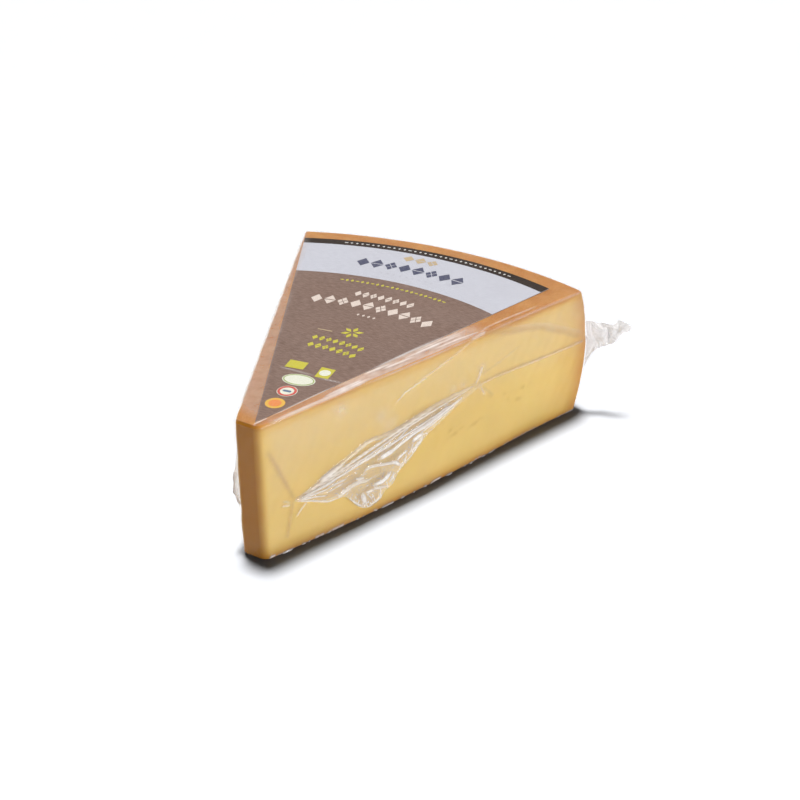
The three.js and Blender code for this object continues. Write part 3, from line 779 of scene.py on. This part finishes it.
def hung(weld, hem, rows, way=1):
    """A flap laid flat: distances along the cut, from the nose for a way of 1 and to it for -1, heights even
    from weld to hem, and how loose it hangs, 0 to 1."""
    s = np.linspace(*np.real([weld[0], weld[-1]])[::way], rows)[:, None]
    top, foot = curve_through(weld, s), curve_through(hem, s)
    s, z = np.broadcast_arrays(s, blend(top, foot, DROP))
    return s, z, np.clip((top - foot) / 14, 0, 1)


def front_flap():
    """The flap on the front: it bellies as half a sine wave down from its weld, in tents along its creases,
    with rays from the star at its tip and ridged crumples where it is free."""
    s, z, loose = hung(FRONT_WELD, FRONT_FLAP_EDGE, 560)
    rise, haze, glare = creased(s, z, FLAP_CREASES)
    from_star = s + 1j * z - STAR
    rays = folds(60 * np.angle(from_star), 0.1 * np.abs(from_star), 2.6, turns=3, seed=0.3)
    free = ease(DROP, 0.3, 0.9) * within(s, 45, 62, 130, 165)
    crumple = 0.7 * folds(s, z, 6, seed=1.1) * free + 0.35 * rays * (1 - free)
    lift = loose * (1.2 * np.sin(np.pi * np.minimum(DROP, 0.7)) + crumple)
    out = STAND_OFF - 0.5 * (1 - loose) + sag(s, z) + lift + 0.8 * rise * np.minimum(1, 0.4 + loose)
    # Painted highlights: sparkles on the free crumples, bright lines along the rays, and a glint along the hem.
    sparks = 0.75 * loose * free * ease(folds(1.3 * s, z, 3, turns=6, seed=4), 0.74, 0.93)
    lines = 0.35 * loose * (1 - free) * ease(rays, 0.7, 0.95)
    hem = 0.25 * ease(DROP, 0.95, 1) * loose * ease(swirls(s, z, 9), -0.4, 0.6)
    glare = np.maximum(np.maximum(glare, sparks), lines) + (0.03 + 0.05 * free) * loose
    glare = np.clip(np.maximum(glare, hem), 0, MOST_GLARE)
    return raised(NOSE_RIGHT + FRONT[1] * s + FRONT[2] * out, z), haze + 0.06 + 0.03 * loose, glare


def heel_flange():
    """The flange round the heel: down and out from the weld, as broad as the root of half a sine wave."""
    f = np.linspace(0, 1, 120)[1:-1, None]
    broad = np.sqrt(np.sin(np.pi * f))
    z = FRONT_WELD[-1].imag - (CORNER_RIDGE + (HEEL_FLANGE - CORNER_RIDGE) * broad) * DROP
    bearing = blend(CUT_BEARINGS["right"], CUT_BEARINGS["left"], f)
    crumple = folds(WHEEL_RADIUS * bearing, 3 * z, 9, seed=0.7)
    out = STAND_OFF + broad * DROP * (2 + 1.8 * crumple)
    grid = raised((heel_radius(z) + out) * np.exp(1j * bearing), z)
    # The highest crumples carry a painted highlight.
    return grid, 0.2 + 0.1 * crumple, 0.3 * ease(crumple, 0.6, 0.9)


def left_flap():
    """The flap on the left cut: crumpled, with an ear at the nose that stands off as a sine wave."""
    s, z, loose = hung(LEFT_WELD, LEFT_FLAP_EDGE, 160, way=-1)
    crumple = folds(s, z, 9, seed=2.3)
    ear = EAR_PROUD * (1 - ease(s, 6, 32)) * np.sin(np.pi * DROP**2)
    out = STAND_OFF - 0.4 + ear + loose * 1.8 * crumple * np.sin(np.pi * np.minimum(DROP, 0.8))
    gathered = (1 - ease(s, 6, 17)) * ease(DROP, 0.25, 0.55)
    haze = 0.08 + 0.1 * crumple + gathered * (0.3 + 0.2 * crumple)
    # The highest crumples carry a painted highlight.
    return raised(NOSE_LEFT - LEFT[1] * s + LEFT[2] * out, z), haze, 0.12 * ease(crumple, 0.6, 0.9)


def build_surplus(film):
    """The band of surplus film, from the star on the front round the heel to the left cut's ear."""
    grid, haze, glare = (np.concatenate(part) for part in zip(front_flap(), heel_flange(), left_flap()))
    points, faces = sheet(grid, FILM_THICKNESS)
    piece = make_piece("bag_surplus_film", placed(points), faces, [film],
                       {"haze": np.tile(haze.ravel(), 2), "glare": np.tile(glare.ravel(), 2)})
    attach(piece, "root")
    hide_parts("bag_film")


# The tail's upper and lower edges: distance from the heel's corner + i times the height.
TAIL_TOP = [0+69.5j, 5.5+69.3j, 7.4+67.8j, 13.8+67.6j, 19.2+67.8j, 22.4+70.6j, 27+69j, 31+66.4j]
TAIL_FOOT = [0+33j, 4+43.6j, 8.3+47.5j, 14.8+50.4j, 20.6+54.6j, 24.5+59.6j, 28+61.8j, 31+63.8j]


def build_tail(film):
    """The crumpled tail at the heel's right corner: a web between two edge curves, folded across its plane."""
    reach = np.linspace(0, TAIL_LENGTH, 90)[:, None]
    down = np.linspace(0, 1, 70)[None, :]
    top, foot = curve_through(TAIL_TOP, reach), curve_through(TAIL_FOOT, reach)
    z = blend(top, foot, down)
    corner = CORNER_RADIUS["heel"]
    root = on_circle(FRONT[0] - FRONT[2] * corner, FRONT[1], heel_radius(z) - corner)
    along = np.exp(1j * TAIL_HEADING)
    crumple = folds(reach, z, 7, turns=6, seed=0.9)
    fold = 2.4 * ease(reach, 0, 7) * (crumple - 0.5) + 1.8 * ease(reach, 3, 16) * swirls(reach, z, 15)
    points, faces = sheet(raised(root + along * (corner + 0.4 + reach + 1j * fold), z), FILM_THICKNESS)
    haze = 0.1 + 0.1 * (1 - crumple) + 0.2 * (1 - ease(reach, 2, 12))
    # A white that is partly the gathered film's real whitening, and partly painted highlights on its crumples
    # and painted glints along its edges.
    glare = 0.25 + 0.25 * ease(reach, 0, 12) + 0.35 * ease(crumple, 0.5, 0.9)
    glare = glare + 0.2 * ease(np.abs(down - 0.5), 0.44, 0.5)
    piece = make_piece("bag_tail", placed(points), faces, [film],
                       {"haze": np.tile(haze.ravel(), 2), "glare": np.tile(glare.ravel(), 2)})
    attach(piece, "root")
    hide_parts("bag_film")


# ---- the label and its print

WHITE_BAND = (203.0, 251.0)  # radii about the label's centre
FIRST_ARC = 16.0
LABEL_COLUMNS = 60


def build_label():
    """The paper sector: rows are arcs about its centre, cut off by its straight sides, in three fields."""
    radius = np.concatenate([
        np.linspace(FIRST_ARC, WHITE_BAND[0], 60), np.linspace(*WHITE_BAND, 18)[1:],
        np.linspace(WHITE_BAND[1], LABEL_RADIUS, 5)[1:]])[:, None]
    across = np.linspace(0, 1, LABEL_COLUMNS + 1)[None, :]
    bearings = []
    for tip, bearing in ((LABEL_TIP_RIGHT, LABEL_RIGHT), (LABEL_TIP_LEFT, LABEL_LEFT)):
        side = straight(tip, LABEL_CENTRE + LABEL_RADIUS * np.exp(1j * bearing))
        bearings.append(np.angle(on_circle(tip, side[1], radius, LABEL_CENTRE) - LABEL_CENTRE))
    plan = LABEL_CENTRE + radius * np.exp(1j * blend(*bearings, across))
    plan = np.concatenate([blend(LABEL_TIP_RIGHT, LABEL_TIP_LEFT, across), plan])
    points, faces = sheet(raised(plan, LABEL_TOP - LABEL_THICKNESS / 2)[:, ::-1], LABEL_THICKNESS)
    middle = np.concatenate([[0], (radius[:-1, 0] + radius[1:, 0]) / 2])
    field = np.searchsorted(WHITE_BAND, middle)
    materials = [
        paper_material("label_paper_printed_brown", "#6d574c", "#8d766b"),
        paper_material("label_paper_bare_white", "#b9bac3", "#c6c7cf"),
        paper_material("label_paper_printed_charcoal", "#261d18", "#382e27"),
    ]
    unprinted = np.ones(len(faces[1]) + len(faces[2]))
    piece = make_piece("label_paper", placed(points), faces, materials,
                       material_of=[np.repeat(field, LABEL_COLUMNS), unprinted], smooth=False)
    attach(piece, "root")
    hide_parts("label")


INK_BOTTOM = LABEL_TOP + 0.03
INK_THICKNESS = 0.08


def lozenge(width, height):
    """A lozenge's four corners, anticlockwise, as every outline here goes."""
    return np.array([-width / 2, -0.5j * height, width / 2, 0.5j * height])


def bar(width, height):
    """A bar with its corners cut off."""
    w, h, c = width / 2, height / 2, 0.3 * min(width, height)
    half = np.array([-w + c - 1j * h, w - c - 1j * h, w - 1j * (h - c), w + 1j * (h - c)])
    return np.concatenate([half, -half])


def oval(across, up):
    """An ellipse from its two half-lengths, with 28 corners."""
    a = np.exp(2j * np.pi * np.arange(28) / 28)
    return across * a.real + 1j * up * a.imag


def ornament(k, width, height):
    """One mark of an ornamental row: in turn a lozenge, one cut in two, and four small ones."""
    if k % 3 == 0:
        return [lozenge(width, height)]
    if k % 3 == 1:
        half = np.array([-0.5 * width, 0.5 * width, 0.5j * height])
        return [half + 0.04j * height, np.conj(half)[::-1] - 0.04j * height]
    part = lozenge(0.46 * width, 0.46 * height)
    return [part + 0.27 * width, part - 0.27 * width, part + 0.27j * height, part - 0.27j * height]


def along_arc(shape, radius, bearing):
    """A shape laid on an arc about the label's centre: x runs clockwise along the arc and y outwards."""
    return LABEL_CENTRE + (radius + shape.imag) * np.exp(1j * (np.radians(bearing) - shape.real / radius))


def row_of(marks, radius, start, end):
    """Marks, each a list of outlines, spread evenly along an arc between two bearings in degrees."""
    bearings = np.linspace(start, end, len(marks))
    return [along_arc(part, radius, b) for mark, b in zip(marks, bearings) for part in mark]


def ornaments(count, radius, start, end, width, height):
    """A row of ornaments."""
    return row_of([ornament(k, width, height) for k in range(count)], radius, start, end)


def ink(name, code, outlines, *holes, floor=0.0):
    """Flat inked shapes: outlines carried up by the ink's thickness, and capped, or closed round holes."""
    low = INK_BOTTOM + floor
    high = low + INK_THICKNESS
    points, quads, triangles, count = [], [], [], 0
    for outer, *inner in zip(outlines, *holes):
        n = len(outer)
        loops = [(outer, low), (outer, high)] + [(hole, z) for hole in inner for z in (high, low)]
        points += [raised(loop, z) for loop, z in loops]
        index = count + np.arange(len(loops) * n).reshape(-1, n)
        quads.append(grid_faces(np.concatenate([index, index[:1]]) if holes else index, wrap=True))
        if not holes:
            k = np.arange(1, n - 1)
            fan = np.stack([0 * k, k, k + 1], axis=1)
            triangles += [index[1][fan], index[0][fan[:, ::-1]]]
        count += len(loops) * n
    faces = [np.concatenate(part) for part in (quads, triangles) if part]
    piece = make_piece("print_" + name, placed(np.concatenate(points)), faces, [ink_material(name, code)],
                       smooth=False)
    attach(piece, "root")


# The middles of the stamps near the label's tip, and how far the oval one and the blue bar are turned.
OVAL_STAMP, SIDE_STAMP, RING_STAMP, TIP_STAMP = 84.3 - 4.1j, 99.0 - 13.8j, 69.5 - 5.1j, 54.4 - 6.2j
STAMP_TILT = np.exp(1j * np.radians(97.0))


def build_print():
    """Rows of marks in the label's inks, a flower, two fields and plain stamps near the tip."""
    ink("white", "#d8d6d2", row_of(
        [[lozenge(2, 2.2) if k % 4 else bar(2.6, 0.9)] for k in range(33)], 255.3, 15.9, -13.2))
    ink("sand", "#bda783", ornaments(3, 242, 3.9, -0.5, 8.4, 9.4) + [along_arc(bar(10.4, 0.9), 119.5, 6.3)])
    ink("navy", "#474a63", ornaments(8, 226, 10.9, -7.7, 9.2, 13))
    ink("grey", "#b9b9c2", row_of([[lozenge(1.7, 2.4)]] * 9, 213.3, 6.2, -4.3))
    rows = ornaments(8, 176.7, 6.7, -6.2, 4.8, 8.4) + ornaments(10, 162, 15, -14.6, 7.8, 12)
    ink("cream", "#d9cabf", rows + row_of([[lozenge(2, 3.2)]] * 4, 148, 2, -2.6))
    rows = row_of([[lozenge(2.4, 3.6) if k % 3 else lozenge(3.4, 1.7)] for k in range(22)], 194.2, 12.3, -10.8)
    rows += ornaments(8, 108.3, 7.3, -10.7, 3.9, 6.2) + ornaments(7, 98.4, 6.6, -11.6, 4.3, 6.6)
    petal = lozenge(3.2, 6.4) + 4.4j
    flower = [along_arc(petal * np.exp(1j * a), 123.5, -2) for a in np.arange(6) * np.pi / 3]
    ink("leaf_green", "#c3ba3c", rows + flower + [
        np.array([94.8 + 12.6j, 96.6 + 0.5j, 105.5 + 1.7j, 104.2 + 13.9j]),
        np.array([92.4 - 10.2j, 93.5 - 19.0j, 105.4 - 17.7j, 104.8 - 8.2j])])
    ink("pale_green", "#dfe0cf", [OVAL_STAMP + STAMP_TILT * oval(10.6, 6.9), SIDE_STAMP + oval(3.6, 3.6),
                                  RING_STAMP + oval(6.3, 6.3)], floor=0.1)
    ink("oval_rim", "#9fae6a", [OVAL_STAMP + STAMP_TILT * oval(10, 6.3)],
        [OVAL_STAMP + STAMP_TILT * oval(9.2, 5.5)], floor=0.2)
    ink("red", "#c9554a", [RING_STAMP + oval(5.9, 5.9)], [RING_STAMP + oval(4.3, 4.3)], floor=0.2)
    ink("blue", "#5a6f8d", [RING_STAMP + STAMP_TILT * bar(5.4, 2)], floor=0.2)
    ink("amber", "#e0b04a", [TIP_STAMP + oval(6, 6)])
    ink("orange", "#e08a4c", [TIP_STAMP + oval(3.9, 3.9)], floor=0.1)


# ---- floor, light and camera

CAMERA_PLACE = (-531.11, -399.78, 506.65)
CAMERA_HEADING = np.radians(27.956)
CAMERA_DIP = np.radians(30.232)
CAMERA_LENS = 62.51
SENSOR = 36.0
FLOOR_REACH = 12.0
FLOOR_LEVEL = -0.0003


def aim(obj, place, forward):
    """Puts a camera or lamp at a place in metres, looking along a direction, as upright as goes."""
    back = -np.asarray(forward, float) / np.linalg.norm(forward)
    right = np.cross((0, 0, 1), back)
    right /= np.linalg.norm(right)
    obj.matrix_world = Matrix(np.column_stack([right, np.cross(back, right), back, place])).to_4x4()
    bpy.context.scene.collection.objects.link(obj)


def build_camera():
    """The photograph's camera, whose place, heading and dip come from a fit to the wedge's corners."""
    lens = bpy.data.cameras.new("camera")
    lens.lens = CAMERA_LENS
    lens.sensor_width = SENSOR
    lens.clip_end = 50
    camera = bpy.data.objects.new("camera", lens)
    level = np.cos(CAMERA_DIP)
    aim(camera, placed(CAMERA_PLACE),
        (level * np.cos(CAMERA_HEADING), level * np.sin(CAMERA_HEADING), -np.sin(CAMERA_DIP)))
    bpy.context.scene.camera = camera


def lamp(name, kind, bearing, elevation, power, distance=4.0, only=None, mirrored=True, **settings):
    """A lamp that looks at the chunk's middle from a bearing about +X and an elevation, both in degrees.

    Where only is given, it lights that object alone, and the others still cast their shadows on it. A lamp
    that isn't mirrored shows in no gloss, as behind a polariser."""
    light = bpy.data.lights.new(name, kind)
    light.energy = power
    for key, value in settings.items():
        setattr(light, key, value)
    a, e = np.radians(bearing), np.radians(elevation)
    towards = np.array([np.cos(a) * np.cos(e), np.sin(a) * np.cos(e), np.sin(e)])
    source = bpy.data.objects.new(name, light)
    source.visible_glossy = mirrored
    aim(source, towards * distance + (0, 0, 0.05), -towards)
    if only is not None:
        source.light_linking.receiver_collection = bpy.data.collections.new(name + "_reach")
        source.light_linking.receiver_collection.objects.link(only)


def build_studio():
    """A floor lit to white by its own lamp, a high lamp and a low front one for the chunk, and white walls
    that give way to a dark ceiling."""
    corners = FLOOR_REACH * np.array([-1 - 1j, 1 - 1j, 1 + 1j, -1 + 1j])
    floor = make_piece("floor", raised(corners, FLOOR_LEVEL), [np.array([[0, 1, 2, 3]])], [floor_material()],
                       smooth=False)
    lamp("high_back_lamp", "SUN", 40, 81, 3.65, mirrored=False, angle=np.radians(10))
    lamp("floor_lamp", "SUN", 40, 81.8, 20.2, only=floor, mirrored=False, angle=np.radians(9))
    lamp("low_front_softbox", "AREA", -97, 5, 60.5, shape="RECTANGLE", size=1.8, size_y=0.5)
    world = bpy.data.worlds.new("studio")
    world.use_nodes = True
    tree = world.node_tree
    add = partial(add_node, tree)
    upwards = add("SeparateXYZ", add("TexCoord", out="Generated"), out="Z")
    background = tree.nodes["Background"].inputs
    background["Color"].default_value = (1, 1, 1, 1)
    tree.links.new(add("MapRange", upwards, 0.18, 0.42, 1, 0.06), background["Strength"])
    bpy.context.scene.world = world
    bpy.context.scene.view_settings.view_transform = "Standard"


build_camera()
build_studio()
TIGHT_FILM = film_material("clear_vacuum_pouch_film_drawn_tight", 7.0, 0.1)
LOOSE_FILM = film_material("clear_vacuum_pouch_film_crumpled", 2.2, 0.7)
build_cheese()
build_label()
build_print()
build_film_skin(TIGHT_FILM)
build_surplus(LOOSE_FILM)
build_tail(LOOSE_FILM)
